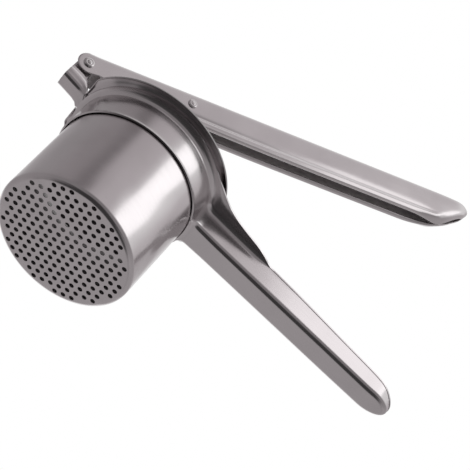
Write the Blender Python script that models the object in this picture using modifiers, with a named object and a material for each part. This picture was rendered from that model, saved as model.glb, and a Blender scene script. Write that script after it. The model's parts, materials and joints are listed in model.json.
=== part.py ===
"""A hand-held potato ricer in pressed stainless sheet.

A perforated hopper drops into the ring of a one-piece frame, whose channel runs out to the lower
handle on one side and to a short hinge tail on the other. A folded lever turns on a rivet in the
hinge bracket and carries the presser on a second rivet. Metres, +Z up, lower handle along +X,
perforated base at the bottom, mirror-symmetric about the XZ plane.
"""

import math

import bmesh
import bpy
from mathutils import Matrix, Vector

MM = 0.001
GAP = 0.3 * MM                     # left between pieces that touch
PITCH = 5.0 * MM                   # distance between neighbouring holes in the base

HOPPER_X = -60.83 * MM             # the hopper's axis, so that the whole part is centred on the origin
HOPPER_SHEET = 0.8 * MM
HOPPER_BASE_FLAT = 36.5 * MM       # radius of the flat, perforated base
HOPPER_RADIUS = 39.4 * MM          # outer radius just above the base
HOPPER_TOP_RADIUS = 39.8 * MM
HOPPER_RIM_RADIUS = 49.2 * MM
HOPPER_RIM_FLAT = 42.2 * MM        # the rim is trimmed straight this far from the axis, beside the hinge
HOLE_RADIUS = 1.2 * MM
HOLE_FIELD = 7.0 * PITCH

SHEET = 1.0 * MM                   # frame and lever
COLLAR_RADIUS = 41.1 * MM
COLLAR_BOTTOM = 57.2 * MM
FLANGE_TOP = 76.2 * MM
FLANGE_RADIUS = 45.2 * MM
FLANGE_SHIFT = 1.0 * MM            # the flange is a little wider on the handle's side
FLANGE_HOLE = 43.0 * MM

HANDLE_NOSE = 13.7 * MM
HANDLE_FLOOR = 61.0 * MM

HINGE = Vector((HOPPER_X - 55.7 * MM, 0, 94.9 * MM))
PIN_RADIUS = 2.0 * MM
BORE_RADIUS = PIN_RADIUS + GAP
BRACKET_HALF_WIDTH = 4.2 * MM
BRACKET_FLOOR = 80.5 * MM

LEVER_ANGLE = math.radians(30)     # above the lower handle, at rest
LEVER_HALF_WIDTH = 6.5 * MM
LEVER_NOSE = 11.0 * MM
EAR_RADIUS = 6.5 * MM

PLUNGER_ARM = 62.0 * MM            # from the hinge rivet to the presser's rivet
PLUNGER_TILT = math.radians(1.9)
PLUNGER_DROP = 88.5 * MM           # from the presser's rivet to the underside of its plate
PLATE_RADIUS = 35.6 * MM
PLATE_SHEET = 1.0 * MM
YOKE_HALF_WIDTH = 3.6 * MM
YOKE_SHEET = 1.2 * MM
YOKE_EDGE_RADIUS = 5.2 * MM

ROUND_STEPS = 48


def clear_scene():
    for item in list(bpy.data.objects):
        bpy.data.objects.remove(item, do_unlink=True)


def new_collection(name):
    group = bpy.data.collections.new(name)
    bpy.context.scene.collection.children.link(group)
    return group


def steel(name, colour, roughness):
    """A bare-metal material with its colour and polish."""
    skin = bpy.data.materials.new(name)
    skin.use_nodes = True
    shader = skin.node_tree.nodes["Principled BSDF"]
    shader.inputs["Base Color"].default_value = (*colour, 1)
    shader.inputs["Metallic"].default_value = 1.0
    shader.inputs["Roughness"].default_value = roughness
    skin.diffuse_color = (*colour, 1)
    return skin


clear_scene()
PARTS = new_collection("potato_ricer")
CUTTERS = new_collection("cutters")


# ---------------------------------------------------------------- building blocks

def add_object(name, mesh, group=CUTTERS):
    """Puts a mesh in the scene, as a guide unless it is named as one of the parts."""
    item = bpy.data.objects.new(name, mesh)
    group.objects.link(item)
    if group is CUTTERS:
        item.hide_render = True
        item.display_type = "WIRE"
    return item


def finish_part(item, skin):
    """Shades a finished piece smooth across its soft bends and gives it its metal."""
    item.data.materials.clear()
    item.data.materials.append(skin)
    item.data.shade_smooth()
    item.data.set_sharp_from_angle(angle=math.radians(30))
    return item


def mesh_from(name, build):
    """Runs build on an empty bmesh and returns the mesh it leaves."""
    shape = bmesh.new()
    build(shape)
    mesh = bpy.data.meshes.new(name)
    shape.to_mesh(mesh)
    shape.free()
    return mesh


def solidify(item, thickness):
    wall = item.modifiers.new("sheet", "SOLIDIFY")
    wall.thickness = thickness
    wall.offset = -1
    wall.use_even_offset = True
    return item


def combine(item, other, operation):
    step = item.modifiers.new(operation.lower() + "_" + other.name, "BOOLEAN")
    step.operation = operation
    step.object = other
    step.solver = "EXACT"
    return item


def cylinder(name, radius, depth, centre, along="Z", sides=24, group=CUTTERS):
    """A closed cylinder, its middle at centre and its axis along Z or Y."""
    turn = Matrix.Rotation(math.radians(90), 4, "X") if along == "Y" else Matrix.Identity(4)

    def build(shape):
        bmesh.ops.create_cone(
            shape, cap_ends=True, segments=sides, radius1=radius, radius2=radius, depth=depth,
            matrix=Matrix.Translation(centre) @ turn,
        )

    return add_object(name, mesh_from(name, build), group)


def box(name, low, high, group=CUTTERS):
    """A closed box between two corners."""
    low = Vector(low)
    high = Vector(high)
    size = Matrix.Diagonal((*(high - low), 1))

    def build(shape):
        bmesh.ops.create_cube(shape, size=1, matrix=Matrix.Translation((low + high) / 2) @ size)

    return add_object(name, mesh_from(name, build), group)


def turned(name, profile, centre, steps=ROUND_STEPS, group=CUTTERS):
    """A profile of (radius, height) turned about the vertical through centre, an open surface."""
    mesh = bpy.data.meshes.new(name)
    points = [(radius, 0, height) for radius, height in profile]
    mesh.from_pydata(points, [(i, i + 1) for i in range(len(points) - 1)], [])
    item = add_object(name, mesh, group)
    item.location = centre
    screw = item.modifiers.new("turn", "SCREW")
    screw.steps = steps
    screw.render_steps = steps
    screw.use_merge_vertices = True
    screw.merge_threshold = 0.00001
    return item


def flat_plate(name, outlines, thickness, place, group=CUTTERS):
    """Closed outlines filled flat, the first one the edge and the rest holes, made a closed mesh."""
    curve = bpy.data.curves.new(name, "CURVE")
    curve.dimensions = "2D"
    curve.fill_mode = "BOTH"
    curve.extrude = thickness / 2
    for outline in outlines:
        spline = curve.splines.new("POLY")
        spline.points.add(len(outline) - 1)
        spline.use_cyclic_u = True
        for point, (across, up) in zip(spline.points, outline):
            point.co = (across, up, 0, 1)
    drawn = add_object(name + "_curve", curve)
    drawn.matrix_world = place
    bpy.context.view_layer.update()
    mesh = bpy.data.meshes.new_from_object(drawn.evaluated_get(bpy.context.evaluated_depsgraph_get()))
    bpy.data.objects.remove(drawn, do_unlink=True)
    weld(mesh)
    item = add_object(name, mesh, group)
    item.matrix_world = place
    return item


def weld(mesh, within=1e-6):
    shape = bmesh.new()
    shape.from_mesh(mesh)
    bmesh.ops.remove_doubles(shape, verts=shape.verts, dist=within)
    bmesh.ops.recalc_face_normals(shape, faces=shape.faces)
    shape.to_mesh(mesh)
    shape.free()


def arc(centre, radius, start, end, count):
    """Points on an arc, angles in degrees."""
    angles = [math.radians(start + (end - start) * i / (count - 1)) for i in range(count)]
    return [(centre[0] + radius * math.cos(a), centre[1] + radius * math.sin(a)) for a in angles]


def channel_section(half_width, edge, floor, corner, lip):
    """Half of a U section from its open edge to its middle, as (distance from the middle, height)."""
    up = 1 if edge > floor else -1
    bend = [
        (half_width - corner + corner * math.cos(a), floor + up * corner * (1 - math.sin(a)))
        for a in [math.radians(step) for step in (0, 30, 60, 90)]
    ]
    return [
        (half_width + lip, edge),
        (half_width, edge - up * lip),
        *bend,
        (half_width * 0.35, floor),
        (0, floor),
    ]


def channel(name, stations, nose_length, corner, lip, nose_rise=0.0, group=CUTTERS):
    """A pressed channel open along one side, closed by a round nose or open at both ends.

    Each station is (distance along, half width, height of the open edge, height of the floor).
    The sheet is one surface that follows the first wall, the nose and then the other wall.
    nose_rise lifts the floor towards the tip by that much.
    """
    columns = []
    for along, half_width, edge, floor in stations:
        section = channel_section(half_width, edge, floor, min(corner, abs(edge - floor) * 0.6), lip)
        columns.append([(along, -across, height) for across, height in section])
    if nose_length:
        along, half_width, edge, floor = stations[-1]
        section = channel_section(half_width, edge, floor, corner, lip)
        for turn in range(-75, 90, 15):
            angle = math.radians(turn)
            column = []
            for across, height in section:
                reach = across / half_width
                forward = reach * nose_length * math.cos(angle)
                lift = nose_rise * (forward / nose_length) ** 2 * (edge - height) / (edge - floor)
                column.append((along + forward, across * math.sin(angle), height + lift))
            columns.append(column)
    for along, half_width, edge, floor in reversed(stations):
        section = channel_section(half_width, edge, floor, min(corner, abs(edge - floor) * 0.6), lip)
        columns.append([(along, across, height) for across, height in section])
    rows = len(columns[0])
    points = [point for column in columns for point in column]
    faces = []
    count = len(columns)
    middle = len(stations) - 1
    for i in range(count - 1):
        if not nose_length and i == middle:
            continue
        for j in range(rows - 1):
            first = i * rows + j
            second = (i + 1) * rows + j
            faces.append((first, second, second + 1, first + 1))
    mesh = bpy.data.meshes.new(name)
    mesh.from_pydata(points, [], faces)
    weld_sheet(mesh, outward_down=stations[0][2] > stations[0][3])
    return add_object(name, mesh, group)


def weld_sheet(mesh, outward_down):
    """Joins an open sheet along its middle and turns its faces to the outside of the channel."""
    shape = bmesh.new()
    shape.from_mesh(mesh)
    bmesh.ops.remove_doubles(shape, verts=shape.verts, dist=1e-6)
    bmesh.ops.dissolve_degenerate(shape, edges=shape.edges, dist=1e-7)
    bmesh.ops.recalc_face_normals(shape, faces=shape.faces)
    floor_face = max(shape.faces, key=lambda face: abs(face.normal.z) * face.calc_area())
    if (floor_face.normal.z < 0) != outward_down:
        bmesh.ops.reverse_faces(shape, faces=shape.faces)
    shape.to_mesh(mesh)
    shape.free()


def rivet(name, shank_radius, head_radius, head_height, half_grip, skin):
    """A rivet along Y with a domed head on both sides of what it grips, centred on its own origin."""
    dome = [
        (head_radius * math.cos(a), half_grip + head_height * math.sin(a))
        for a in [math.radians(step) for step in (90, 60, 30, 0)]
    ]
    dome[0] = (0, half_grip + head_height)
    half = [*dome, (shank_radius, half_grip)]
    profile = half + [(radius, -height) for radius, height in reversed(half)]
    item = turned(name, profile, (0, 0, 0), steps=20, group=PARTS)
    item.rotation_euler = (math.radians(90), 0, 0)
    return finish_part(item, skin)


def collar_ring(name, inner, outer, low, high, skin, sides=20):
    """A plain washer or tube along Y, centred on its own origin."""
    profile = [(outer, high), (outer, low), (inner, low), (inner, high), (outer, high)]
    item = turned(name, profile, (0, 0, 0), steps=sides, group=PARTS)
    item.rotation_euler = (math.radians(90), 0, 0)
    tidy = item.modifiers.new("close", "WELD")
    tidy.merge_threshold = 0.00001
    return finish_part(item, skin)


def ride_on(item, axle):
    """Parents a piece that is modelled about the axle's own origin."""
    item.parent = axle
    return item


def axle_empty(name, place, tilt):
    """An empty on a hinge line along Y, turned up from the horizontal by tilt."""
    axle = bpy.data.objects.new(name, None)
    PARTS.objects.link(axle)
    axle.location = place
    axle.rotation_euler = (0, -tilt, 0)
    return axle


# ---------------------------------------------------------------- hopper

def hole_cutter(name):
    """One six-sided prism for each hole of the base, on a triangular grid centred on the axis."""
    def build(shape):
        reach = int(HOLE_FIELD / PITCH) + 2
        for column in range(-reach, reach + 1):
            for row in range(-reach - 4, reach + 5):
                across = column * PITCH * math.sqrt(3) / 2
                along = (row - column / 2) * PITCH
                if math.hypot(across, along) > HOLE_FIELD + 0.01 * PITCH:
                    continue
                place = Matrix.Translation((HOPPER_X + across, along, 0))
                bmesh.ops.create_cone(
                    shape, cap_ends=True, segments=6, radius1=HOLE_RADIUS, radius2=HOLE_RADIUS,
                    depth=4 * HOPPER_SHEET, matrix=place,
                )

    return add_object(name, mesh_from(name, build))


def make_hopper(skin):
    """A drawn cup with a perforated base and a sloping rim, trimmed straight beside the hinge."""
    corner = HOPPER_RADIUS - HOPPER_BASE_FLAT
    base = arc((HOPPER_BASE_FLAT, corner), corner, 0, -90, 4)
    profile = [
        (HOPPER_RIM_RADIUS, 78.5 * MM),
        (43.2 * MM, 77.0 * MM),
        (40.8 * MM, 76.1 * MM),
        (HOPPER_TOP_RADIUS, 74.0 * MM),
        *base,
        (0, 0),
    ]
    cup = turned("hopper", profile, (HOPPER_X, 0, 0), group=PARTS)
    solidify(cup, HOPPER_SHEET)
    beyond = HOPPER_X - HOPPER_RIM_FLAT
    trim = box("hopper_rim_trim", (beyond - 20 * MM, -41 * MM, 72 * MM), (beyond, 41 * MM, 83 * MM))
    combine(cup, trim, "DIFFERENCE")
    combine(cup, hole_cutter("hopper_holes"), "DIFFERENCE")
    return finish_part(cup, skin)


# ---------------------------------------------------------------- frame

def flange_outline():
    """The flange seen from above: a circle on the hinge's side that sweeps into the handle."""
    wing = [(33.0, 33.0), (39.5, 27.5), (46.0, 22.5), (55.0, 18.0), (66.0, 15.4), (76.0, 13.6), (85.0, 9.6)]
    near = [(HOPPER_X + along * MM, -across * MM) for along, across in wing]
    far = [(along, -across) for along, across in reversed(near)]
    round_edge = arc((HOPPER_X + FLANGE_SHIFT, 0), FLANGE_RADIUS, 48, 312, 33)
    return [*near, *far, *round_edge]


def make_frame(skin):
    """Collar, flange, handle and hinge tail, which are one pressing."""
    collar_profile = [
        (45.0 * MM, 75.05 * MM),
        (43.4 * MM, 74.5 * MM),
        (42.0 * MM, 72.6 * MM),
        (COLLAR_RADIUS + 0.2 * MM, 69.5 * MM),
        (COLLAR_RADIUS, COLLAR_BOTTOM),
    ]
    collar = turned("frame", collar_profile, (HOPPER_X, 0, 0), group=PARTS)
    collar.rotation_euler = (0, 0, math.pi / ROUND_STEPS)
    solidify(collar, SHEET)

    hole = arc((HOPPER_X, 0), FLANGE_HOLE, 0, 352.5, ROUND_STEPS)
    place = Matrix.Translation((0, 0, FLANGE_TOP - SHEET / 2))
    combine(collar, flat_plate("flange", [flange_outline(), hole], SHEET, place), "UNION")

    inside = COLLAR_RADIUS - SHEET / 2
    bore = cylinder("collar_bore", inside, 60 * MM, (HOPPER_X, 0, 70 * MM), sides=ROUND_STEPS)
    handle_stations = [
        (HOPPER_X + along * MM, width * MM, edge * MM, HANDLE_FLOOR + rise * MM)
        for along, width, edge, rise in (
            (34.0, 11.0, 75.2, 0.0),
            (46.0, 9.4, 75.2, 0.0),
            (60.0, 8.7, 75.2, 0.0),
            (90.0, 8.5, 74.9, 0.0),
            (140.0, 8.4, 72.9, 0.2),
            (169.0, 8.2, 71.6, 0.3),
        )
    ]
    handle = channel("lower_handle", handle_stations, HANDLE_NOSE, 3.0 * MM, 0.7 * MM, nose_rise=1.5 * MM)
    solidify(handle, SHEET)
    combine(handle, bore, "DIFFERENCE")
    mouth = cylinder("collar_mouth", FLANGE_HOLE, 20 * MM, (HOPPER_X, 0, 83.2 * MM), sides=ROUND_STEPS)
    combine(handle, mouth, "DIFFERENCE")
    combine(collar, handle, "UNION")

    tail_stations = [
        (HOPPER_X + along * MM, width * MM, edge * MM, floor * MM)
        for along, width, edge, floor in (
            (-42.9, 11.6, 77.0, 74.9),
            (-45.0, 8.6, 80.0, 76.3),
            (-48.0, 6.4, 84.4, 77.5),
            (-51.5, 5.6, 86.6, 78.1),
            (-60.5, 5.6, 86.8, 79.0),
        )
    ]
    tail = channel("hinge_tail", tail_stations, 0, 2.0 * MM, 0.4 * MM)
    solidify(tail, 0.9 * MM)
    combine(tail, bore, "DIFFERENCE")
    combine(collar, tail, "UNION")
    return finish_part(collar, skin)


# ---------------------------------------------------------------- hinge bracket

def side_plate(name, outline, half_thickness, side, axle=None):
    """A flat cheek standing in the XZ plane at distance side from the middle."""
    upright = Matrix.Translation((0, side, 0)) @ Matrix.Rotation(math.radians(90), 4, "X")
    item = flat_plate(name, [outline], 2 * half_thickness, upright)
    if axle:
        item.parent = axle
        item.matrix_parent_inverse = Matrix.Identity(4)
    return item


def make_bracket(skin):
    """A U-shaped bracket that stands in the tail and holds the hinge rivet between two round ears."""
    thick = 1.0 * MM
    eye = (HINGE.x, HINGE.z)
    ear_radius = 5.0 * MM
    floor = box(
        "hinge_bracket",
        (HINGE.x - ear_radius + 0.2 * MM, -BRACKET_HALF_WIDTH, BRACKET_FLOOR),
        (HINGE.x + ear_radius, BRACKET_HALF_WIDTH, BRACKET_FLOOR + thick),
        group=PARTS,
    )
    outline = [
        (HINGE.x - ear_radius, BRACKET_FLOOR + 0.3 * MM),
        (HINGE.x + ear_radius + 0.3 * MM, BRACKET_FLOOR + 0.3 * MM),
        *arc(eye, ear_radius, 0, 180, 13),
    ]
    inset = BRACKET_HALF_WIDTH - thick / 2 - 0.01 * MM
    for side in (-1, 1):
        cheek = side_plate("bracket_cheek", outline, thick / 2, side * inset)
        combine(floor, cheek, "UNION")
    combine(floor, cylinder("bracket_bore", BORE_RADIUS, 30 * MM, HINGE, along="Y"), "DIFFERENCE")
    return finish_part(floor, skin)


# ---------------------------------------------------------------- lever

def make_lever(axle, skin):
    """A folded channel, open below, with two round ears at the hinge and a closed round nose."""
    stations = [
        (along * MM, LEVER_HALF_WIDTH, edge * MM, top * MM)
        for along, edge, top in (
            (6.0, -6.2, 6.8),
            (14.0, -6.6, 6.8),
            (45.0, -11.0, 6.8),
            (74.0, -12.0, 6.8),
            (150.0, -12.6, 6.8),
            (218.0, -13.0, 6.8),
            (230.0, -12.6, 6.2),
            (238.0, -11.6, 5.0),
        )
    ]
    lever = channel("lever", stations, LEVER_NOSE, 2.2 * MM, 0.6 * MM, nose_rise=-4.0 * MM, group=PARTS)
    solidify(lever, SHEET)
    ride_on(lever, axle)
    ear = [
        *arc((0, 0), EAR_RADIUS, 110, 250, 15),
        (0.0, -6.45 * MM),
        (9.5 * MM, -6.3 * MM),
        (9.5 * MM, 4.0 * MM),
        (5.0 * MM, 6.2 * MM),
    ]
    inset = LEVER_HALF_WIDTH - SHEET / 2
    for side in (-1, 1):
        cheek = side_plate("lever_ear", ear, SHEET / 2 - 0.02 * MM, side * inset, axle)
        combine(lever, cheek, "UNION")
    for name, along in (("lever_hinge_bore", 0.0), ("lever_plunger_bore", PLUNGER_ARM)):
        bore = cylinder(name, BORE_RADIUS, 30 * MM, (along, 0, 0), along="Y")
        ride_on(bore, axle)
        combine(lever, bore, "DIFFERENCE")
    return finish_part(lever, skin)


def make_lever_rivets(axle, skin):
    """The hinge rivet, the presser's rivet and the rings that space the parts on them."""
    half_grip = LEVER_HALF_WIDTH + GAP
    hinge_pin = ride_on(rivet("hinge_rivet", PIN_RADIUS, 3.2 * MM, 1.5 * MM, half_grip, skin), axle)
    hinge_pin.location = (0, 0, 0)
    plunger_pin = ride_on(rivet("plunger_rivet", PIN_RADIUS, 2.8 * MM, 1.3 * MM, half_grip, skin), axle)
    plunger_pin.location = (PLUNGER_ARM, 0, 0)
    lever_inside = LEVER_HALF_WIDTH - SHEET
    rings = (
        ("hinge_washer_", BRACKET_HALF_WIDTH, 4.3 * MM, 0.0),
        ("plunger_spacer_", YOKE_HALF_WIDTH, 3.4 * MM, PLUNGER_ARM),
    )
    for name, carried_half_width, outer, along in rings:
        low = carried_half_width + GAP
        high = lever_inside - GAP
        half = (high - low) / 2
        for side, label in ((-1, "near"), (1, "far")):
            ring = collar_ring(name + label, BORE_RADIUS, outer, -half, half, skin)
            ride_on(ring, axle)
            ring.location = (along, side * (low + high) / 2, 0)


# ---------------------------------------------------------------- presser

def make_yoke(axle, skin):
    """A strap folded into a narrow U, hung from its rivet, with a foot that lies on the plate."""
    foot_low = -PLUNGER_DROP + PLATE_SHEET + GAP
    foot_half_length = 14.0 * MM
    yoke = box(
        "plunger_yoke",
        (-foot_half_length, -YOKE_HALF_WIDTH, foot_low),
        (foot_half_length, YOKE_HALF_WIDTH, foot_low + YOKE_SHEET),
        group=PARTS,
    )
    ride_on(yoke, axle)
    outline = [
        (-YOKE_EDGE_RADIUS - 2.5 * MM, foot_low + 0.3 * MM),
        (YOKE_EDGE_RADIUS + 2.5 * MM, foot_low + 0.3 * MM),
        (YOKE_EDGE_RADIUS, foot_low + 12.0 * MM),
        *arc((0, 0), YOKE_EDGE_RADIUS, 0, 180, 13),
        (-YOKE_EDGE_RADIUS, foot_low + 12.0 * MM),
    ]
    inset = YOKE_HALF_WIDTH - YOKE_SHEET / 2 - 0.01 * MM
    for side in (-1, 1):
        arm = side_plate("yoke_arm", outline, YOKE_SHEET / 2, side * inset, axle)
        combine(yoke, arm, "UNION")
    cutters = [cylinder("yoke_bore", BORE_RADIUS, 30 * MM, (0, 0, 0), along="Y")]
    for along in (-1, 1):
        foot_hole = (along * 10.5 * MM, 0, foot_low)
        cutters.append(cylinder("yoke_rivet_hole", 1.9 * MM, 10 * MM, foot_hole, sides=16))
    for cutter in cutters:
        ride_on(cutter, axle)
        combine(yoke, cutter, "DIFFERENCE")
    return finish_part(yoke, skin)


def make_plate(axle, skin):
    """The presser's plate, a shallow dish with an upturned edge."""
    low = -PLUNGER_DROP
    corner = 2.5 * MM
    profile = [
        (PLATE_RADIUS, low + 6.0 * MM),
        *arc((PLATE_RADIUS - corner, low + corner), corner, 0, -90, 4),
        (0, low),
    ]
    plate = turned("presser_plate", profile, (0, 0, 0), group=PARTS)
    solidify(plate, PLATE_SHEET)
    ride_on(plate, axle)
    for along in (-1, 1):
        cutter = cylinder("plate_rivet_hole", 1.9 * MM, 10 * MM, (along * 10.5 * MM, 0, low), sides=16)
        ride_on(cutter, axle)
        combine(plate, cutter, "DIFFERENCE")
    return finish_part(plate, skin)


def make_plate_rivets(axle, skin):
    """Two upright rivets that hold the yoke's foot to the plate."""
    half_grip = (PLATE_SHEET + YOKE_SHEET + 3 * GAP) / 2
    middle = -PLUNGER_DROP - GAP + half_grip
    for along, label in ((-1, "back"), (1, "front")):
        item = rivet("presser_rivet_" + label, 1.6 * MM, 2.9 * MM, 1.1 * MM, half_grip, skin)
        item.rotation_euler = (0, 0, 0)
        ride_on(item, axle)
        item.location = (along * 10.5 * MM, 0, middle)


# ---------------------------------------------------------------- assembly

def main():
    polished = steel("polished_steel", (0.62, 0.60, 0.60), 0.20)
    drawn = steel("drawn_steel", (0.58, 0.56, 0.56), 0.25)
    satin = steel("satin_steel", (0.55, 0.53, 0.53), 0.32)
    bright = steel("rivet_steel", (0.66, 0.65, 0.65), 0.15)
    inner = steel("presser_steel", (0.57, 0.56, 0.56), 0.30)

    make_hopper(drawn)
    make_frame(polished)
    make_bracket(satin)

    lever_axle = axle_empty("lever_axle", HINGE, LEVER_ANGLE)
    make_lever(lever_axle, polished)
    make_lever_rivets(lever_axle, bright)

    reach = Vector((math.cos(LEVER_ANGLE), 0, math.sin(LEVER_ANGLE))) * PLUNGER_ARM
    plunger_axle = axle_empty("plunger_axle", HINGE + reach, PLUNGER_TILT)
    make_yoke(plunger_axle, inner)
    make_plate(plunger_axle, inner)
    make_plate_rivets(plunger_axle, bright)


main()
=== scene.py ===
"""The looks of a potato ricer in pressed stainless sheet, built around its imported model.

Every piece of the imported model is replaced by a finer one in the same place: sheet-metal pressings
with real bends, hems and beads, round punched holes and dimpled rivets, all in procedural steel.
Lengths below are in millimetres where a name or comment says so; Blender gets metres.
"""

import json
import math

import bmesh
import bpy
from mathutils import Matrix, Vector


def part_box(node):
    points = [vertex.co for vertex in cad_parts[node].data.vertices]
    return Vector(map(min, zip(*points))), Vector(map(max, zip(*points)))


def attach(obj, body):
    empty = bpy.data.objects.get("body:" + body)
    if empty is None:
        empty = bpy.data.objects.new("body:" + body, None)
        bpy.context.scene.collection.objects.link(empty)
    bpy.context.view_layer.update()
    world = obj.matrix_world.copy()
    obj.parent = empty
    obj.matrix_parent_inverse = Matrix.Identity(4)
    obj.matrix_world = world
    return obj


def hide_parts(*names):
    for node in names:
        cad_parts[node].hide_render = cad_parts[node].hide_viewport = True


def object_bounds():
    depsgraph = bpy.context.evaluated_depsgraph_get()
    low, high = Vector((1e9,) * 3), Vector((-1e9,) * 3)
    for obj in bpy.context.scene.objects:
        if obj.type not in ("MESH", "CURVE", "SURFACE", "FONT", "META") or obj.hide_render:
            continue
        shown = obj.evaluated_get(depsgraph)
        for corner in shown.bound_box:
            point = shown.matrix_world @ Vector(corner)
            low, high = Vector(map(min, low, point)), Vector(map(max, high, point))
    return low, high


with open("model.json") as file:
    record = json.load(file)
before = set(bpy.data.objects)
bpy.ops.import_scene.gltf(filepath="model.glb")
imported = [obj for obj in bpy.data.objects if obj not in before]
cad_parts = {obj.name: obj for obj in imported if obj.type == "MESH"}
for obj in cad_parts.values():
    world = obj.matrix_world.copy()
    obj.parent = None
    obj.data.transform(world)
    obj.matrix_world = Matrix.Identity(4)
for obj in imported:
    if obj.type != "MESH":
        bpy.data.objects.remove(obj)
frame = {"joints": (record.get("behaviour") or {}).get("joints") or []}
CAD_LOW, CAD_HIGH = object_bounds()

MM = 0.001
JOINTS = {joint["name"]: Vector(joint["pos_m"]) for joint in frame["joints"]}
HINGE = JOINTS["lever_hinge"]
PLUNGER = JOINTS["presser_pivot"]
CUP_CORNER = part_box("hopper")[1]
AXIS = Vector((CUP_CORNER.x - CUP_CORNER.y, 0, 0))   # foot of the cup's axis: the rim's reach less its radius
LEVER_TILT = math.radians(30)
ACROSS = Matrix.Rotation(math.radians(90), 4, "X")   # turns an axis along Z to lie along Y
RIVET_HOLE = 2.3                                     # radius in millimetres


# ---------------------------------------------------------------- mesh helpers

def link(name, data):
    item = bpy.data.objects.new(name, data)
    bpy.context.scene.collection.objects.link(item)
    return item


def smooth(item, angle=35):
    item.data.shade_smooth()
    item.data.set_sharp_from_angle(angle=math.radians(angle))
    return item


def mesh_of(name, points, faces, outside=None):
    """A welded mesh from points in millimetres. outside is a point that its faces turn towards."""
    shape = bmesh.new()
    corners = [shape.verts.new(Vector(point) * MM) for point in points]
    for face in faces:
        ring = [corners[i] for i in dict.fromkeys(face)]
        if len(ring) > 2:
            shape.faces.new(ring)
    bmesh.ops.remove_doubles(shape, verts=shape.verts, dist=2e-6)
    bmesh.ops.dissolve_degenerate(shape, edges=shape.edges, dist=1e-7)
    bmesh.ops.recalc_face_normals(shape, faces=shape.faces)
    if outside is not None:
        target = Vector(outside) * MM
        nearest = min(shape.faces, key=lambda face: (face.calc_center_median() - target).length)
        if nearest.normal.dot(target - nearest.calc_center_median()) < 0:
            bmesh.ops.reverse_faces(shape, faces=shape.faces)
    mesh = bpy.data.meshes.new(name)
    shape.to_mesh(mesh)
    shape.free()
    return mesh


def grid_faces(columns, rows, first=0, wrap=False):
    """Quads of a grid whose points are stored column by column."""
    faces = []
    for i in range(columns if wrap else columns - 1):
        here = first + i * rows
        there = first + ((i + 1) % columns) * rows
        for j in range(rows - 1):
            faces.append((here + j, there + j, there + j + 1, here + j + 1))
    return faces


def add_grid(points, faces, columns, wrap=False):
    """Adds a grid of columns to a growing list of points and faces."""
    first = len(points)
    rows = len(columns[0])
    for column in columns:
        points.extend(column)
    faces.extend(grid_faces(len(columns), rows, first, wrap))


def mirrored(columns):
    return [[(x, -y, z) for x, y, z in column] for column in columns]


def sheet_metal(item, thickness, edge=0.0):
    """Turns an open surface into sheet, its outside where the surface is, and rounds the cut edges."""
    wall = item.modifiers.new("sheet", "SOLIDIFY")
    wall.thickness = thickness * MM
    wall.offset = -1
    if edge:
        soften = item.modifiers.new("edge", "BEVEL")
        soften.width = edge * MM
        soften.segments = 3
        soften.limit_method = "ANGLE"
        soften.angle_limit = math.radians(50)
    return item


def subdivide(item, levels):
    fine = item.modifiers.new("fine", "SUBSURF")
    fine.levels = levels
    fine.render_levels = levels
    return item


def cut(item, cutter):
    """Cuts one hole and applies it, so that no cutter stays in the scene."""
    step = item.modifiers.new("cut", "BOOLEAN")
    step.object = cutter
    step.solver = "EXACT"
    bpy.context.view_layer.update()
    mesh = bpy.data.meshes.new_from_object(item.evaluated_get(bpy.context.evaluated_depsgraph_get()))
    item.modifiers.clear()
    item.data = mesh
    bpy.data.objects.remove(cutter, do_unlink=True)
    return item


def rod(radius, length, centre, turn=ACROSS):
    """A closed cylinder along Y, or turned another way, that cuts holes. centre is in metres."""
    shape = bmesh.new()
    bmesh.ops.create_cone(
        shape, cap_ends=True, segments=48, radius1=radius * MM, radius2=radius * MM, depth=length * MM,
        matrix=Matrix.Translation(centre) @ turn,
    )
    mesh = bpy.data.meshes.new("rod")
    shape.to_mesh(mesh)
    shape.free()
    return link("rod", mesh)


def arc(centre, radius, start, end, count):
    """Points on an arc in a plane, from one angle in degrees to another."""
    angles = [math.radians(start + (end - start) * i / (count - 1)) for i in range(count)]
    return [(centre[0] + radius * math.cos(a), centre[1] + radius * math.sin(a)) for a in angles]


def woven(name, grids, outside=None, wrap=False):
    """One object from several grids of columns, welded where they meet."""
    points = []
    faces = []
    for columns in grids:
        add_grid(points, faces, columns, wrap)
    return link(name, mesh_of(name, points, faces, outside))


def revolve(name, profile, steps, outside=None, closed=False):
    """A profile of (radius, height) in millimetres turned about Z."""
    loop = profile + profile[:1] if closed else profile
    columns = []
    for i in range(steps):
        angle = 2 * math.pi * i / steps
        columns.append([(r * math.cos(angle), r * math.sin(angle), z) for r, z in loop])
    return woven(name, [columns], outside, wrap=True)


def track(table, at):
    """Reads a value from (place, value) pairs, joined by a smooth curve."""
    places, values = zip(*table)
    if at <= places[0]:
        return values[0]
    if at >= places[-1]:
        return values[-1]
    i = max(k for k in range(len(places) - 1) if places[k] <= at)
    span = places[i + 1] - places[i]
    t = (at - places[i]) / span

    def slope(k):
        if k == 0 or k == len(places) - 1:
            return 0.0
        before = (values[k] - values[k - 1]) / (places[k] - places[k - 1])
        after = (values[k + 1] - values[k]) / (places[k + 1] - places[k])
        return 0.0 if before * after <= 0 else 2 * before * after / (before + after)

    left = slope(i) * span
    right = slope(i + 1) * span
    return (
        (2 * t**3 - 3 * t**2 + 1) * values[i] + (t**3 - 2 * t**2 + t) * left
        + (3 * t**2 - 2 * t**3) * values[i + 1] + (t**3 - t**2) * right
    )


def place(item, origin, turn=Matrix()):
    """Bakes a piece's place into its mesh. origin is in metres."""
    item.data.transform(Matrix.Translation(origin) @ turn)
    return item


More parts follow.
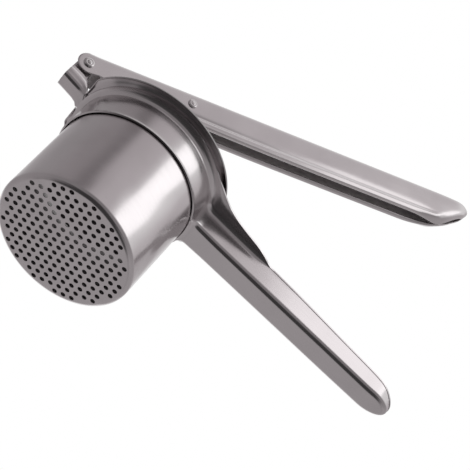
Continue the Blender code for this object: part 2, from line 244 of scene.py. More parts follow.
def strap_columns(half, low, bend, ear, arm, parts, width=None):
    """A strap folded into a U that opens upwards, its arms' round ends centred on the origin.

    half is the distance of each arm from the middle, low the height of the U's floor, and arm the heights of
    the points between ear and bend. parts is the number of faces across half the strap, and width gives its
    half width at a height, where that is more than the ear's.
    """
    path = [(-half, ear * math.sin(math.radians(90 - 9 * k))) for k in range(11)]
    path += [(-half, z) for z in arm]
    path += arc((-half + bend, low + bend), bend, 180, 270, 6)
    path += [(0.0, low)]
    path += [(-y, z) for y, z in reversed(path[:-1])]
    columns = []
    for y, z in path:
        if z > 0:
            reach = math.sqrt(max(ear**2 - z**2, 0.0))
        else:
            reach = max(ear, width(z)) if width and z < 0 else ear
        columns.append([(reach * (k / parts - 1), y, z) for k in range(2 * parts + 1)])
    return columns


def deliver(item, body, nodes, skin):
    """Gives a piece its metal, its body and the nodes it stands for."""
    item.data.materials.clear()
    item.data.materials.append(skin)
    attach(item, body)
    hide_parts(*nodes)
    return item


# ---------------------------------------------------------------- shader helpers

def maths(tree, operation, *values):
    """A Math node. A value is a number, which is set on the socket itself, or another node's output."""
    node = tree.nodes.new("ShaderNodeMath")
    node.operation = operation
    for socket, value in zip(node.inputs, values):
        if isinstance(value, (int, float)):
            socket.default_value = value
        else:
            tree.links.new(value, socket)
    return node.outputs["Value"]


def fade(tree, value, start, end):
    """A smooth step from 0 where a value is at start to 1 where it is at end."""
    node = tree.nodes.new("ShaderNodeMapRange")
    node.interpolation_type = "SMOOTHSTEP"
    node.inputs["From Min"].default_value = start
    node.inputs["From Max"].default_value = end
    tree.links.new(value, node.inputs["Value"])
    return node.outputs["Result"]


# ---------------------------------------------------------------- steel

def steel(name, colour, roughness, grain, tilt=0.0, waves=0.0):
    """Polished stainless with fine polishing lines.

    grain stretches the noise, so that the lines run where its value is small; tilt turns it about Y.
    waves is the depth of the soft unevenness that drawing leaves in a wall, in millimetres.
    """
    skin = bpy.data.materials.new(name)
    skin.use_nodes = True
    tree = skin.node_tree
    shader = tree.nodes["Principled BSDF"]
    shader.inputs["Metallic"].default_value = 1.0
    coords = tree.nodes.new("ShaderNodeTexCoord")
    turn = tree.nodes.new("ShaderNodeMapping")
    turn.inputs["Rotation"].default_value = (0, tilt, 0)
    stretch = tree.nodes.new("ShaderNodeMapping")
    stretch.inputs["Scale"].default_value = grain
    tree.links.new(coords.outputs["Object"], turn.inputs["Vector"])
    tree.links.new(turn.outputs["Vector"], stretch.inputs["Vector"])

    def noise(vector, scale, detail, distortion=0.0):
        node = tree.nodes.new("ShaderNodeTexNoise")
        node.inputs["Scale"].default_value = scale
        node.inputs["Detail"].default_value = detail
        node.inputs["Distortion"].default_value = distortion
        tree.links.new(vector, node.inputs["Vector"])
        return node.outputs["Fac"]

    def relief(height, strength, distance):
        node = tree.nodes.new("ShaderNodeBump")
        node.inputs["Strength"].default_value = strength
        node.inputs["Distance"].default_value = distance * MM
        tree.links.new(height, node.inputs["Height"])
        return node

    lines = noise(stretch.outputs["Vector"], 1.0, 4.0)
    haze = noise(coords.outputs["Object"], 45.0, 3.0)

    tone = tree.nodes.new("ShaderNodeMapRange")
    tone.inputs["From Min"].default_value = 0.3
    tone.inputs["From Max"].default_value = 0.7
    tree.links.new(haze, tone.inputs["Value"])
    tint = tree.nodes.new("ShaderNodeMix")
    tint.data_type = "RGBA"
    tint.inputs["A"].default_value = (*[0.96 * value for value in colour], 1)
    tint.inputs["B"].default_value = (*[1.03 * value for value in colour], 1)
    tree.links.new(tone.outputs["Result"], tint.inputs["Factor"])
    tree.links.new(tint.outputs["Result"], shader.inputs["Base Color"])

    polish = tree.nodes.new("ShaderNodeMapRange")
    polish.inputs["From Min"].default_value = 0.25
    polish.inputs["From Max"].default_value = 0.75
    polish.inputs["To Min"].default_value = roughness * 0.8
    polish.inputs["To Max"].default_value = roughness * 1.25
    mean = maths(tree, "MULTIPLY", maths(tree, "ADD", lines, haze), 0.5)
    tree.links.new(mean, polish.inputs["Value"])
    tree.links.new(polish.outputs["Result"], shader.inputs["Roughness"])

    scratches = relief(lines, 0.15, 0.006)
    tree.links.new(scratches.outputs["Normal"], shader.inputs["Normal"])
    if waves:
        slant = tree.nodes.new("ShaderNodeMapping")
        slant.inputs["Rotation"].default_value = (0.5, -0.6, 0.3)
        slant.inputs["Scale"].default_value = (34.0, 34.0, 13.0)
        tree.links.new(coords.outputs["Object"], slant.inputs["Vector"])
        uneven = relief(noise(slant.outputs["Vector"], 1.0, 1.0, distortion=0.6), 1.0, waves)
        tree.links.new(uneven.outputs["Normal"], scratches.inputs["Normal"])
    return skin


# ---------------------------------------------------------------- cup

def make_cup(skin, inside, shade):
    """The drawn cup: round corner, straight wall, rim that slopes out to a small rolled bead."""
    steps = 192
    pitch = 5.0
    hole = 1.32
    hole_edge = 0.12               # the holes' punched edge is wider by this much
    perforated = 35.05             # the holes' centres lie within this radius
    flat = 36.5
    corner = 2.9
    rim_flat = 44.4                # the rim is cut straight beside the hinge
    bead = [(48.62, 77.3), (48.6, 77.9), (48.45, 78.2), (48.1, 78.3)]
    rim = [(46.2, 78.2), (45.0, 77.75), (44.2, 77.3), (43.2, 76.95), (41.6, 76.5), (40.6, 75.9)]
    side = [(40.05, 75.0), (39.8, 73.8), (39.85, 66.0), (39.85, 57.0), (39.65, 50.0), (39.55, 30.0)]
    side += [(39.45, 12.0), (39.4, 5.0)]
    wall = bead + rim + side + arc((flat, corner), corner, 0, -90, 10)
    recess = range(2, 5)           # rings of the rim's underside, in darker steel: painted shade of the recess over the flange
    shape = bmesh.new()
    rings = []
    for radius, height in wall:
        ring = []
        for i in range(steps):
            angle = 2 * math.pi * i / steps
            x = max(radius * math.cos(angle), -rim_flat)
            ring.append(shape.verts.new(Vector((x, radius * math.sin(angle), height)) * MM))
        rings.append(ring)
    for k, (upper, lower) in enumerate(zip(rings, rings[1:])):
        for i in range(steps):
            face = shape.faces.new((upper[i], lower[i], lower[(i + 1) % steps], upper[(i + 1) % steps]))
            face.material_index = 2 if k in recess else 0

    sides = 24
    turns = [2 * math.pi * k / sides for k in range(sides)]
    reach = int(perforated / pitch) + 2
    border = []
    for column in range(-reach, reach + 1):
        for row in range(-reach - 4, reach + 5):
            across = column * pitch * math.sqrt(3) / 2
            along = (row - column / 2) * pitch
            if math.hypot(across, along) > perforated:
                continue
            loops = []
            for radius, height in ((hole + hole_edge, 0.0), (hole, 0.1)):
                circle = [Vector((radius * math.cos(a), radius * math.sin(a), height)) for a in turns]
                centre = Vector((across, along, 0))
                loops.append([shape.verts.new((centre + point) * MM) for point in circle])
            outer, inner = loops
            for k in range(sides):
                face = shape.faces.new((outer[k], outer[(k + 1) % sides], inner[(k + 1) % sides], inner[k]))
                border.append(face.edges[0])
    ring = set(rings[-1])
    border += [edge for edge in shape.edges if edge.is_boundary and ring.issuperset(edge.verts)]
    bmesh.ops.triangle_fill(shape, edges=border, use_beauty=True, normal=(0, 0, -1))
    bmesh.ops.recalc_face_normals(shape, faces=shape.faces)
    lowest = min(shape.faces, key=lambda face: face.calc_center_median().z)
    if lowest.normal.z > 0:
        bmesh.ops.reverse_faces(shape, faces=shape.faces)
    mesh = bpy.data.meshes.new("hopper_cup")
    shape.to_mesh(mesh)
    shape.free()
    item = link("hopper_cup", mesh)
    place(item, AXIS)
    sheet_metal(item, 0.6)
    # the inner side of the sheet takes slot 1, a darker, rougher steel that paints shade into the cup
    item.modifiers["sheet"].material_offset = 1
    smooth(item)
    deliver(item, "frame", ["hopper"], skin)
    item.data.materials.append(inside)
    # slot 2: the darker steel under the rim, a painted shade
    item.data.materials.append(shade)
    return item


# ---------------------------------------------------------------- frame pressing

# Millimetres from the cup's axis and above its base, unless a comment says otherwise.
COLLAR = 41.1                     # outside of the collar
COLLAR_FOOT = 57.2
FLANGE = 45.2
FLANGE_SHIFT = 1.0                # the flange's centre lies this far towards the handle
UNDER_FLANGE = 75.2
BEND = 3.2                        # radius from the flange down into a wall
FLOOR = 61.0                      # underside of the lower handle
FLOOR_CORNER = 2.5
ROOT_FILLET = 8.0                 # radius in plan where the collar sweeps into the handle
HANDLE_STRAIGHT = 169.0
HANDLE_NOSE = 13.2
TAIL_SPREAD = 7.6                 # degrees each side of the hinge where the tail leaves the flange

# The wing joins the flange to the handle's rim: half its width at places along the handle.
WING = [
    (31.2, 33.6), (36.0, 30.2), (41.0, 26.4), (46.0, 22.8), (51.0, 19.9), (58.0, 17.3), (66.0, 15.4),
    (74.0, 13.8), (79.0, 12.2), (82.5, 10.4), (85.0, 9.45), (88.0, 9.3),
]
WING_START = 48.1                 # degrees where the round flange gives way to the wing
WING_TRAVEL = 62.0                # length of wall, from there on, that the wing is spread along
WING_END = 76.0
NO_FLANGE = 86.0                  # the handle's wall has a plain edge from here on
KEEL_START = 60.0                 # the handle's underside follows its keel line from here on
HALF_WIDTH = [(44.0, 9.0), (60.0, 8.6), (140.0, 8.3), (169.0, 8.1)]
RIM = [
    (84.0, 75.2), (100.0, 74.9), (140.0, 73.0), (166.0, 71.7), (172.0, 70.6), (178.0, 68.2), (183.0, 66.0),
]
KEEL = [(KEEL_START, 61.0), (140.0, 61.1), (165.0, 61.2), (183.0, 62.0)]
# The tail's cross sections: place, half width, height of its sides and of its floor.
TAIL = [
    (-45.4, 5.9, 78.4, 76.2), (-47.2, 5.7, 82.4, 77.2), (-49.8, 5.6, 85.6, 77.9), (-53.0, 5.6, 86.6, 78.3),
    (-57.0, 5.6, 86.8, 78.7), (-60.4, 5.6, 86.8, 79.0),
]


def inside_flange(x, y):
    if x > WING[0][0]:
        return abs(y) < track(WING, x)
    return math.hypot(x - FLANGE_SHIFT, y) < FLANGE


def flange_reach(point, outward):
    """Distance from the wall to the flange's edge, found by halving."""
    low, high = 0.0, 40.0
    for _ in range(24):
        middle = (low + high) / 2
        if inside_flange(point[0] + outward[0] * middle, point[1] + outward[1] * middle):
            low = middle
        else:
            high = middle
    return low


def wall_column(point, outward, edge, top, foot, corner, bead):
    """The pressing's outside from its free edge in, over the bend and down the wall to its foot."""
    reach = math.hypot(edge[0] - point[0], edge[1] - point[1])
    bend = min(BEND, 0.8 * reach)
    inner = (point[0] + outward[0] * bend, point[1] + outward[1] * bend)
    rows = [
        (bend + bend * math.cos(a), top - bend + bend * math.sin(a))
        for a in [math.radians(90 + 15 * k) for k in range(7)]
    ]
    high = top - bend
    low = foot + corner
    for k in range(1, 6):
        rows.append((0.0, high + (low - high) * k / 6))
    if bead:
        rows[-1] = (0.02, low + 1.6)
        rows.append((0.18 * bead, low + 0.7))
        rows.append((0.55 * bead, low))
    else:
        rows.append((0.0, low + (high - low) * 0.02))
        rows.append((0.0, low))
    flange = [(*edge, top), ((edge[0] + inner[0]) / 2, (edge[1] + inner[1]) / 2, top)]
    return flange + [(point[0] + outward[0] * n, point[1] + outward[1] * n, z) for n, z in rows]


def edge_point(point, outward, travel):
    """Where a column's flange ends: straight out, or spread evenly along the wing."""
    if 0 < travel < WING_TRAVEL:
        x = WING[0][0] + (WING_END - WING[0][0]) * travel / WING_TRAVEL
        return x, -track(WING, x)
    reach = flange_reach(point, outward) if point[0] < NO_FLANGE else 0.0
    reach = max(reach, 0.3)        # a plain edge still turns out a little
    return point[0] + outward[0] * reach, point[1] + outward[1] * reach


def floor_rise(distance):
    """Height of the handle's floor above the collar's foot, a quarter round as it leaves the collar."""
    radius = FLOOR - COLLAR_FOOT
    if distance >= radius:
        return radius
    return math.sqrt(max(radius**2 - (radius - distance) ** 2, 0.0))


def collar_columns():
    """Columns from the hinge round the near side to where the handle begins."""
    start_angle, _ = root_geometry()
    near = [-180 + TAIL_SPREAD * k / 20 for k in range(21)]
    near += [-180 + TAIL_SPREAD + (180 - TAIL_SPREAD - start_angle) * k / 60 for k in range(1, 61)]
    columns = []
    for angle in near:
        turn = math.radians(angle)
        outward = (math.cos(turn), math.sin(turn))
        point = (COLLAR * outward[0], COLLAR * outward[1])
        bead = min(0.5, max(0.001, (-angle - start_angle) / 28))
        edge = edge_point(point, outward, math.radians(angle + WING_START) * COLLAR)
        columns.append(wall_column(point, outward, edge, UNDER_FLANGE, COLLAR_FOOT, 0.0, bead))
    return columns


def root_geometry():
    """Angle in degrees where the handle's side leaves the collar, and the centre of the round there."""
    side = HALF_WIDTH[0][1] + ROOT_FILLET
    out = math.sqrt((COLLAR + ROOT_FILLET) ** 2 - side**2)
    return math.degrees(math.atan2(side, out)), (out, -side)


def handle_columns():
    """Near half of the handle: columns from the free edge over the wall to the middle of the floor."""
    start_angle, centre = root_geometry()
    spots = []
    for k in range(17):
        turn = math.radians(180 - start_angle + (90 - (180 - start_angle)) * k / 16)
        spoke = (math.cos(turn), math.sin(turn))
        point = (centre[0] + ROOT_FILLET * spoke[0], centre[1] + ROOT_FILLET * spoke[1])
        spots.append((point, (-spoke[0], -spoke[1])))
    count = 40
    for k in range(1, count + 1):
        x = centre[0] + (HANDLE_STRAIGHT - centre[0]) * k / count
        spots.append(((x, -track(HALF_WIDTH, x)), (0.0, -1.0)))
    last = track(HALF_WIDTH, HANDLE_STRAIGHT)
    for k in range(1, 19):
        turn = math.radians(90 - 5 * k)
        point = (HANDLE_STRAIGHT + HANDLE_NOSE * math.cos(turn), -last * math.sin(turn))
        across = Vector((math.cos(turn) / HANDLE_NOSE, -math.sin(turn) / last)).normalized()
        spots.append((point, (across.x, across.y)))
    corner_rows = 6
    floor_rows = 9
    # The first column is the collar's last one, carried on along the collar's foot.
    rows = corner_rows + floor_rows
    turns = [-math.radians(start_angle) * (1 - k / rows) for k in range(1, rows + 1)]
    foot_arc = [(COLLAR * math.cos(turn), COLLAR * math.sin(turn), COLLAR_FOOT) for turn in turns]
    columns = [collar_columns()[-1] + foot_arc]
    travel = math.radians(WING_START - start_angle) * COLLAR
    for (before, _), (point, outward) in zip(spots, spots[1:]):
        rise = floor_rise(max(math.hypot(*point) - COLLAR, 0.0))
        foot = COLLAR_FOOT + rise
        if point[0] > KEEL_START:
            foot = track(KEEL, point[0])
        corner = FLOOR_CORNER * rise / (FLOOR - COLLAR_FOOT)
        travel += math.dist(point, before)
        edge = edge_point(point, outward, travel)
        column = wall_column(point, outward, edge, track(RIM, point[0]), foot, corner, 0)
        inner = []
        for k in range(1, corner_rows + 1):
            a = math.radians(90 * k / corner_rows)
            inner.append((
                point[0] - outward[0] * corner * (1 - math.cos(a)),
                point[1] - outward[1] * corner * (1 - math.cos(a)),
                foot + corner * (1 - math.sin(a)),
            ))
        side = inner[-1]
        radius = math.hypot(side[0], side[1])
        spread = math.asin(min(1.0, abs(side[1]) / radius))
        if point[0] < HANDLE_STRAIGHT:
            for k in range(1, floor_rows + 1):
                turn = -spread * (1 - k / floor_rows)
                inner.append((radius * math.cos(turn), radius * math.sin(turn), foot))
        else:
            for k in range(1, floor_rows + 1):
                inner.append((side[0], side[1] * (1 - k / floor_rows), foot))
        columns.append(column + inner)
    return columns


def tail_columns():
    """The tail, a shallow tray whose sides stand up, drawn out of the flange beside the hinge."""
    count = 20
    floor_share = 0.45             # of a column's way round: floor, then corner, then side
    corner_share = 0.7
    columns = []
    for k in range(-count, 1):
        share = -k / count
        turn = math.radians(-180 + TAIL_SPREAD * share)
        outward = (math.cos(turn), math.sin(turn))
        root = (COLLAR * outward[0], COLLAR * outward[1])
        reach = flange_reach(root, outward)
        column = [(root[0] + outward[0] * reach, root[1] + outward[1] * reach, UNDER_FLANGE)]
        for x, half, edge, floor in TAIL:
            corner = min(2.2, (edge - floor) * 0.45)
            if share < floor_share:
                y = (half - corner) * share / floor_share
                z = floor
            elif share < corner_share:
                a = math.radians(90 * (share - floor_share) / (corner_share - floor_share))
                y = half - corner + corner * math.sin(a)
                z = floor + corner * (1 - math.cos(a))
            else:
                rise = (share - corner_share) / (1 - corner_share)
                bead = 0.55 * math.sin(math.pi * rise) ** 2
                lip = 0.35 * max(rise - 0.85, 0) / 0.15
                y = half + bead + lip
                z = floor + corner + (edge - floor - corner) * rise
            column.append((x, -y, z))
        columns.append(column)
    return columns


def make_frame(skin):
    """Collar, flange, lower handle and hinge tail, drawn from one sheet."""
    grids = []
    for columns in (collar_columns(), handle_columns(), tail_columns()):
        grids += [columns, mirrored(columns)]
    item = woven("frame_pressing", grids, outside=(110.0, 0.0, 40.0))
    place(item, AXIS)
    sheet_metal(item, 0.9, edge=0.22)
    smooth(item, 40)
    return deliver(item, "frame", ["frame"], skin)


# ---------------------------------------------------------------- hinge bracket

def make_bracket(skin):
    """A strap folded into a U, with round ears for the hinge rivet."""
    low = 80.5 - HINGE.z / MM
    arm = [low * k / 5 for k in range(1, 4)]
    columns = strap_columns(half=4.2, low=low, bend=1.6, ear=5.0, arm=arm, parts=6)
    item = woven("hinge_bracket_strap", [columns], outside=(0, -10, 0))
    place(item, HINGE)
    sheet_metal(item, 1.0, edge=0.2)
    cut(item, rod(RIVET_HOLE, 30, HINGE))
    smooth(item)
    return deliver(item, "frame", ["hinge_bracket"], skin)


# ---------------------------------------------------------------- lever

# Millimetres along the lever from its hinge, with a height above the hinge or a width from its middle.
LEVER_HALF = 6.5
LOWER_EDGE = [
    (-7.0, -5.6), (6.0, -6.2), (14.0, -6.6), (45.0, -10.6), (74.0, -12.2), (120.0, -12.9), (206.0, -13.0),
]
KEEL_LINE = [
    (206.0, -13.0), (222.0, -13.0), (228.0, -11.6), (234.0, -8.2), (240.0, -4.2), (245.0, -1.3),
    (249.0, 2.4),
]
TOP_LINE = [(0.0, 6.8), (225.0, 6.8), (236.0, 6.5), (243.0, 6.0), (249.0, 4.4)]
# Depth of the groove along the wall, and the thickness of the hem, which grows as it leaves the ears.
GROOVE = [(20.0, 0.0), (55.0, 1.0), (90.0, 1.0), (130.0, 0.8), (170.0, 0.7), (210.0, 0.6), (226.0, 0.0)]
HEM = [(14.0, 0.0), (48.0, 1.0), (222.0, 1.0), (229.0, 0.3), (248.0, 0.2)]
# Half widths of the lower edge and of the opening in it, and the share of the wall that curves in to it.
FOOT = [
    (207.0, 6.5), (212.0, 5.8), (220.0, 3.7), (228.0, 1.7), (232.0, 2.7), (237.0, 3.5), (243.0, 3.0),
    (249.0, 0.6),
]
OPENING = [
    (7.0, 5.6), (14.0, 5.4), (48.0, 3.1), (206.0, 3.1), (212.0, 2.8), (222.0, 1.2), (228.0, 0.15),
    (231.0, 0.6), (237.0, 2.6), (242.0, 2.0), (247.0, 0.0),
]
BOW = [(222.0, 0.17), (231.0, 0.5), (238.0, 0.62)]
NOSE_START = 236.0                # the lever narrows in plan from here on
NOSE_LENGTH = 12.8


def lever_section(u):
    """Half of the lever's section at u, from the opening's edge to the middle of the top, as (y, v)."""
    top = track(TOP_LINE, u)
    low = track(LOWER_EDGE, u) if u < 206 else track(KEEL_LINE, u)
    nose = max(u - NOSE_START, 0.0) / NOSE_LENGTH
    half = LEVER_HALF * math.sqrt(max(1 - nose**2.4, 0.0))
    groove = track(GROOVE, u)
    hem = track(HEM, u)
    tall = top - low
    round_top = min(1.2, 0.4 * tall, half * 0.45)
    foot = min(half, track(FOOT, u))
    inner = min(track(OPENING, u), foot * 0.9)

    def side(share):
        up = min(share / track(BOW, u), 1.0)
        return half - (half - foot) * (1 - math.sqrt(1 - (1 - up) ** 2))

    # Rows of the lower wall: most height, most share of the wall, and how far the groove moves them.
    rows = (
        (1.3, 0.1, -0.3), (2.6, 0.18, 0.1), (3.4, 0.24, 0.0), (4.2, 0.29, -0.6), (5.2, 0.36, -0.9),
        (6.4, 0.43, -0.1),
    )
    points = [
        (inner, low + 1.6 * hem + 0.3),
        (inner, low + 0.9 * hem + 0.2),
        (inner + (foot - inner) * 0.25, low + 0.1),
        (inner + (foot - inner) * 0.6, low),
        (inner + (foot - inner) * 0.92, low + 0.35),
    ]
    for limit, share, swell in rows:
        height = min(limit, share * tall)
        points.append((side(height / tall) + swell * groove, low + height))
    points += [
        (half, low + 0.68 * tall),
        (half, top - round_top * 1.15),
        (half - round_top * 0.25, top - round_top * 0.3),
        (half - round_top, top),
        (half * 0.35, top),
        (0.0, top),
    ]
    return points


def make_lever(skin, inside):
    """A folded channel with hemmed lower edges, round ears at the hinge and a bow-shaped closed end."""
    stops = [7.0, 9.0, 12.0, 16.0, 22.0, 30.0, 38.0, 46.0, 54.0, 62.0, 70.0]
    stops += [80.0 + 12.5 * k for k in range(10)]
    stops += [200.0, 206.0, 211.0, 215.0, 219.0, 222.0, 225.0, 227.5, 229.5, 232.0, 235.0, 238.0, 240.5]
    stops += [243.0, 245.0, 246.6, 247.8, 248.6]
    columns = [[(u, -y, v) for y, v in lever_section(u)] for u in stops]
    # The ears: each wall runs on past the folded top as a flat cheek with a round end.
    ear = 6.5
    steps = 5
    joint = columns[0][4:15]       # the first section's wall, from its lower edge to the top's bend
    half_round = [math.radians(270 - 18 * k) for k in range(len(joint))]
    rim = [Vector((ear * math.cos(a), -LEVER_HALF, ear * math.sin(a))) for a in half_round]
    shares = [s / steps for s in range(steps + 1)]
    cheek = [[tuple(start.lerp(end, share)) for start, end in zip(rim, joint)] for share in shares]
    item = woven(
        "lever_channel", [columns, mirrored(columns), cheek, mirrored(cheek)], outside=(120.0, -40.0, 0.0),
    )
    sheet_metal(item, 0.9)
    # the inner side of the sheet takes slot 1, a lighter steel that paints light into the channel
    item.modifiers["sheet"].material_offset = 1
    subdivide(item, 2)
    place(item, HINGE, Matrix.Rotation(-LEVER_TILT, 4, "Y"))
    smooth(item, 60)
    deliver(item, "lever", ["lever"], skin)
    item.data.materials.append(inside)
    return item


# ---------------------------------------------------------------- rivets and rings

def rivet_profile(shank, head, height, grip, dimple):
    """Half of a rivet: a domed head with a ring-shaped dimple round its middle button."""
    dome = [
        (0.0, grip + height), (dimple * 0.45, grip + height * 0.97), (dimple * 0.8, grip + height * 0.82),
        (dimple, grip + height * 0.72), (dimple * 1.15, grip + height * 0.8),
        (head * 0.78, grip + height * 0.76), (head * 0.92, grip + height * 0.5), (head, grip + height * 0.2),
        (head, grip + 0.02), (head * 0.97, grip), (shank, grip),
    ]
    return dome + [(radius, -level) for radius, level in reversed(dome)]


def make_lever_rivets(skin):
    """The hinge rivet and the presser's rivet, each with its two rings."""
    grip = LEVER_HALF + 0.05
    for node, centre, head, height in (("hinge_rivet", HINGE, 3.1, 1.4), ("plunger_rivet", PLUNGER, 2.7, 1.2)):
        item = revolve(node + "_domed", rivet_profile(2.0, head, height, grip, 1.5), 48)
        place(item, centre, ACROSS)
        smooth(item, 50)
        deliver(item, "lever", [node], skin)
    for node, centre, outer in (("hinge_washer", HINGE, 4.3), ("plunger_spacer", PLUNGER, 3.4)):
        for side in ("near", "far"):
            low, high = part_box(node + "_" + side)
            half = (high.y - low.y) / 2 / MM
            ring = [
                (outer - 0.2, half), (outer, half - 0.2), (outer, 0.2 - half), (outer - 0.2, -half),
                (RIVET_HOLE, -half), (RIVET_HOLE, half),
            ]
            item = revolve(node + "_" + side + "_ring", ring, 40, closed=True)
            place(item, Vector((centre.x, (low.y + high.y) / 2, centre.z)), ACROSS)
            smooth(item, 50)
            deliver(item, "lever", [node + "_" + side], skin)


# ---------------------------------------------------------------- presser

PRESSER_TURN = Matrix.Rotation(math.radians(-1.9), 4, "Y")   # how the presser hangs at rest
PLATE_LOW = -88.5                 # underside of the plate, from the presser's pivot
PLATE_RADIUS = 35.6
PLATE_RIVETS = {"back": -10.5, "front": 10.5}
FOOT_HEIGHT = 1.3                 # underside of the yoke's foot, above the plate's


def on_presser(along, height):
    """A point in the presser's middle plane, in metres, from millimetres about its pivot."""
    return PLUNGER + PRESSER_TURN @ Vector((along * MM, 0, height * MM))


def make_plate(skin):
    """The presser's plate, a dish with a stiffening ring pressed into it and an upturned edge."""
    low = PLATE_LOW
    corner = 2.6
    profile = [(PLATE_RADIUS, low + 6.0)] + arc((PLATE_RADIUS - corner, low + corner), corner, 0, -90, 8)
    profile += [(28.0, low), (26.5, low + 0.15), (25.0, low + 0.7), (23.5, low + 0.75), (22.0, low + 0.2)]
    profile += [(20.5, low), (0.0, low)]
    item = revolve("presser_dish", profile, 128, outside=(0, 0, 2 * low))
    sheet_metal(item, 1.0, edge=0.2)
    place(item, PLUNGER, PRESSER_TURN)
    for along in PLATE_RIVETS.values():
        cut(item, rod(1.9, 10, on_presser(along, low), turn=Matrix()))
    smooth(item, 40)
    return deliver(item, "presser", ["presser_plate"], skin)


def make_yoke(skin):
    """A strap folded into a narrow U: two arms, and a wider foot that stands on the plate."""
    low = PLATE_LOW + FOOT_HEIGHT
    ear = 5.2
    arm = [low * k / 12 for k in range(1, 12)] + [low + 8.0, low + 4.0]
    foot = [(low, 14.0), (low + 1.5, 12.0), (low + 5.0, 7.6), (low + 12.0, ear)]
    columns = strap_columns(
        half=3.6, low=low, bend=1.5, ear=ear, arm=arm, parts=8, width=lambda height: track(foot, height),
    )
    item = woven("presser_yoke_strap", [columns], outside=(0, -10, -40))
    sheet_metal(item, 1.2, edge=0.25)
    place(item, PLUNGER, PRESSER_TURN)
    cut(item, rod(RIVET_HOLE, 30, PLUNGER))
    smooth(item)
    return deliver(item, "presser", ["plunger_yoke"], skin)


def make_plate_rivets(skin):
    """Two upright rivets through the foot and the plate."""
    grip = 1.55                    # half the distance between the rivet's heads
    below = 0.3                    # the lower head starts this far under the plate
    for label, along in PLATE_RIVETS.items():
        node = "presser_rivet_" + label
        item = revolve(node + "_domed", rivet_profile(1.6, 2.9, 1.0, grip, 1.4), 40)
        place(item, on_presser(along, PLATE_LOW - below + grip), PRESSER_TURN)
        smooth(item, 50)
        deliver(item, "presser", [node], skin)


# ---------------------------------------------------------------- studio

def make_camera():
    """Below the cup and in front of it, looking up, with a long lens and tilted to one side."""
    data = bpy.data.cameras.new("camera")
    data.sensor_width = 36.0
    data.lens = 123.7
    data.clip_start = 0.05
    camera = link("camera", data)
    look = Vector((0.0575, 0.7288, 0.6823)).normalized()
    right = Vector((0.7252, -0.5002, 0.4731))
    right = (right - look * right.dot(look)).normalized()
    up = right.cross(look)
    turn = Matrix((right, up, -look)).transposed().to_4x4()
    camera.matrix_world = Matrix.Translation(AXIS + Vector((12.9, -618.8, -496.2)) * MM) @ turn
    bpy.context.scene.camera = camera


def blend(tree, share, first, second):
    """Mixes two colours, each a node's output or a grey level with its warmth."""
    node = tree.nodes.new("ShaderNodeMix")
    node.data_type = "RGBA"
    tree.links.new(share, node.inputs["Factor"])
    for name, colour in (("A", first), ("B", second)):
        if isinstance(colour, tuple):
            node.inputs[name].default_value = grey(*colour)
        else:
            tree.links.new(colour, node.inputs[name])
    return node.outputs["Result"]


def grey(value, warmth):
    """A grey with a little more red and less green in it."""
    return value * (1 + warmth), value * (1 - warmth * 0.6), value, 1


def round_ramp(tree, share, stops):
    """A brightness that changes round the compass, from (degrees, brightness, warmth) stops."""
    node = tree.nodes.new("ShaderNodeValToRGB")
    node.color_ramp.interpolation = "EASE"
    elements = node.color_ramp.elements
    while len(elements) < len(stops):
        elements.new(0.5)
    for element, (degrees, value, warmth) in zip(elements, stops):
        element.position = degrees / 360 + 0.5
        element.color = grey(value, warmth)
    tree.links.new(share, node.inputs["Fac"])
    return node.outputs["Color"]


# Brightness by compass direction in degrees, 0 at the front and 90 on the handles' side.
UPPER = [
    (-180, 0.95, 0.0), (-150, 0.42, 0.03), (-110, 0.33, 0.03), (-62, 0.29, 0.05), (-40, 0.2, 0.06),
    (-18, 0.48, 0.04), (8, 0.56, 0.035), (42, 0.92, 0.0), (66, 0.88, 0.0), (95, 0.6, 0.03),
    (130, 0.5, 0.03), (180, 0.95, 0.0),
]
LEVEL = [
    (-180, 0.4, 0.03), (-110, 0.32, 0.04), (-50, 0.24, 0.04), (0, 0.22, 0.04), (50, 0.3, 0.03),
    (110, 0.4, 0.03), (180, 0.4, 0.03),
]
LOWER = [
    (-180, 0.4, 0.03), (-150, 0.36, 0.04), (-110, 0.3, 0.04), (-80, 0.2, 0.04), (-48, 0.055, 0.03),
    (45, 0.055, 0.03), (78, 0.3, 0.03), (110, 0.42, 0.03), (150, 0.36, 0.03), (180, 0.4, 0.03),
]
NADIR = (0.044, 0.02)
ZENITH = (0.9, 0.0)


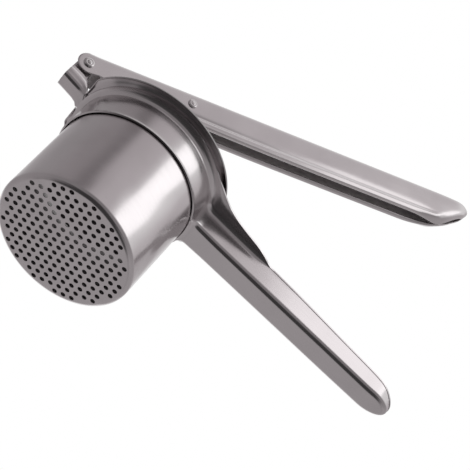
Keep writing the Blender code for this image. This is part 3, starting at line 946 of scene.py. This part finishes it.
def make_world():
    """White behind the object; all round it a studio that is bright to the right and dark by the camera."""
    world = bpy.data.worlds.new("studio")
    bpy.context.scene.world = world
    world.use_nodes = True
    tree = world.node_tree
    tree.nodes.clear()
    coords = tree.nodes.new("ShaderNodeTexCoord")
    split = tree.nodes.new("ShaderNodeSeparateXYZ")
    tree.links.new(coords.outputs["Generated"], split.inputs["Vector"])
    x, y, z = (split.outputs[name] for name in "XYZ")

    turn = maths(tree, "ARCTAN2", x, maths(tree, "MULTIPLY", y, -1.0))
    share = maths(tree, "ADD", maths(tree, "DIVIDE", turn, 2 * math.pi), 0.5)
    upper, level, lower = (round_ramp(tree, share, stops) for stops in (UPPER, LEVEL, LOWER))
    under = blend(tree, fade(tree, z, -0.76, -0.9), lower, NADIR)
    side = blend(tree, fade(tree, z, -0.5, -0.66), level, under)
    over = blend(tree, fade(tree, z, 0.1, 0.6), side, upper)
    studio = blend(tree, fade(tree, z, 0.72, 0.97), over, ZENITH)

    room = tree.nodes.new("ShaderNodeBackground")
    tree.links.new(studio, room.inputs["Color"])
    backdrop = tree.nodes.new("ShaderNodeBackground")
    backdrop.inputs["Color"].default_value = (1, 1, 1, 1)
    # The camera sees the white backdrop everywhere; reflections find it where it stands, behind.
    rays = tree.nodes.new("ShaderNodeLightPath")
    behind = fade(tree, maths(tree, "ADD", y, maths(tree, "MULTIPLY", z, 0.25)), 0.8, 0.98)
    bounced = maths(tree, "MAXIMUM", rays.outputs["Is Glossy Ray"], rays.outputs["Is Transmission Ray"])
    reflected = maths(tree, "MULTIPLY", bounced, behind)
    choose = tree.nodes.new("ShaderNodeMixShader")
    tree.links.new(maths(tree, "MAXIMUM", rays.outputs["Is Camera Ray"], reflected), choose.inputs["Fac"])
    tree.links.new(room.outputs["Background"], choose.inputs[1])
    tree.links.new(backdrop.outputs["Background"], choose.inputs[2])
    output = tree.nodes.new("ShaderNodeOutputWorld")
    tree.links.new(choose.outputs["Shader"], output.inputs["Surface"])


def make_floor():
    """A pale floor under the cup that fades into the backdrop and is clear from below."""
    shape = bmesh.new()
    bmesh.ops.create_circle(shape, cap_ends=True, segments=96, radius=1.6)
    mesh = bpy.data.meshes.new("floor")
    shape.to_mesh(mesh)
    shape.free()
    floor = link("floor", mesh)
    floor.location = (0, 0, CAD_LOW.z - 0.0004)
    skin = bpy.data.materials.new("pale_floor")
    skin.use_nodes = True
    tree = skin.node_tree
    paint = tree.nodes["Principled BSDF"]
    paint.inputs["Base Color"].default_value = (0.9, 0.9, 0.9, 1)
    paint.inputs["Roughness"].default_value = 0.8
    paint.inputs["Emission Color"].default_value = (1, 1, 1, 1)
    rays = tree.nodes.new("ShaderNodeLightPath")
    glow = maths(tree, "MULTIPLY", rays.outputs["Is Camera Ray"], 0.5)
    tree.links.new(glow, paint.inputs["Emission Strength"])
    clear = tree.nodes.new("ShaderNodeBsdfTransparent")
    side = tree.nodes.new("ShaderNodeNewGeometry")
    coords = tree.nodes.new("ShaderNodeTexCoord")
    distance = tree.nodes.new("ShaderNodeVectorMath")
    distance.operation = "LENGTH"
    tree.links.new(coords.outputs["Object"], distance.inputs[0])
    faded = fade(tree, distance.outputs["Value"], 0.25, 0.9)
    mix = tree.nodes.new("ShaderNodeMixShader")
    tree.links.new(maths(tree, "MAXIMUM", faded, side.outputs["Backfacing"]), mix.inputs["Fac"])
    tree.links.new(paint.outputs["BSDF"], mix.inputs[1])
    tree.links.new(clear.outputs["BSDF"], mix.inputs[2])
    tree.links.new(mix.outputs["Shader"], tree.nodes["Material Output"].inputs["Surface"])
    floor.data.materials.append(skin)
    floor.visible_shadow = False
    floor.visible_glossy = False


def make_softbox():
    """A small soft light near the lever's end, above and to the right of the cup."""
    position = AXIS + Vector((0.225, -0.23, 0.272))
    target = AXIS + Vector((0.1, 0, 0.06))
    data = bpy.data.lights.new("softbox", "AREA")
    data.shape = "SQUARE"
    data.size = 0.2
    data.energy = 0.085
    lamp = link("softbox", data)
    lamp.location = position
    lamp.rotation_euler = (target - position).to_track_quat("-Z", "Y").to_euler()
    lamp.visible_camera = False


# ---------------------------------------------------------------- assembly

def main():
    bright = (0.675, 0.645, 0.652)
    along = (50, 700, 700)         # polishing lines along the handles
    around = (90, 90, 900)         # and round the cup
    polished = steel("polished_frame", bright, 0.2, along, waves=0.35)
    folded = steel("polished_lever", bright, 0.22, along, tilt=LEVER_TILT, waves=0.35)
    # lighter steel inside the lever: painted light
    painted_light_lever_inside = steel("lever_inside_painted_light", (0.82, 0.8, 0.8), 0.6, along, tilt=LEVER_TILT)
    drawn = steel("drawn_cup", (0.665, 0.633, 0.642), 0.21, around, waves=1.6)
    # darker steel inside the cup: painted shade
    painted_shade_cup_inside = steel("cup_inside_painted_shade", (0.42, 0.41, 0.41), 0.5, around)
    # darker steel for the rim's underside: painted shade
    painted_rim_shade = steel("rim_underside_painted_shade", (0.24, 0.23, 0.23), 0.38, around)
    satin = steel("satin_bracket", (0.6, 0.57, 0.58), 0.3, (900, 900, 200))
    rivets = steel("rivets", (0.69, 0.665, 0.67), 0.16, (700, 700, 700))
    presser = steel("presser", (0.61, 0.585, 0.592), 0.28, (1200, 120, 1200))

    make_cup(drawn, painted_shade_cup_inside, painted_rim_shade)
    make_frame(polished)
    make_bracket(satin)
    make_lever(folded, painted_light_lever_inside)
    make_lever_rivets(rivets)
    make_plate(presser)
    make_yoke(presser)
    make_plate_rivets(rivets)

    make_camera()
    make_world()
    make_floor()
    make_softbox()
    bpy.context.scene.view_settings.view_transform = "Standard"


main()
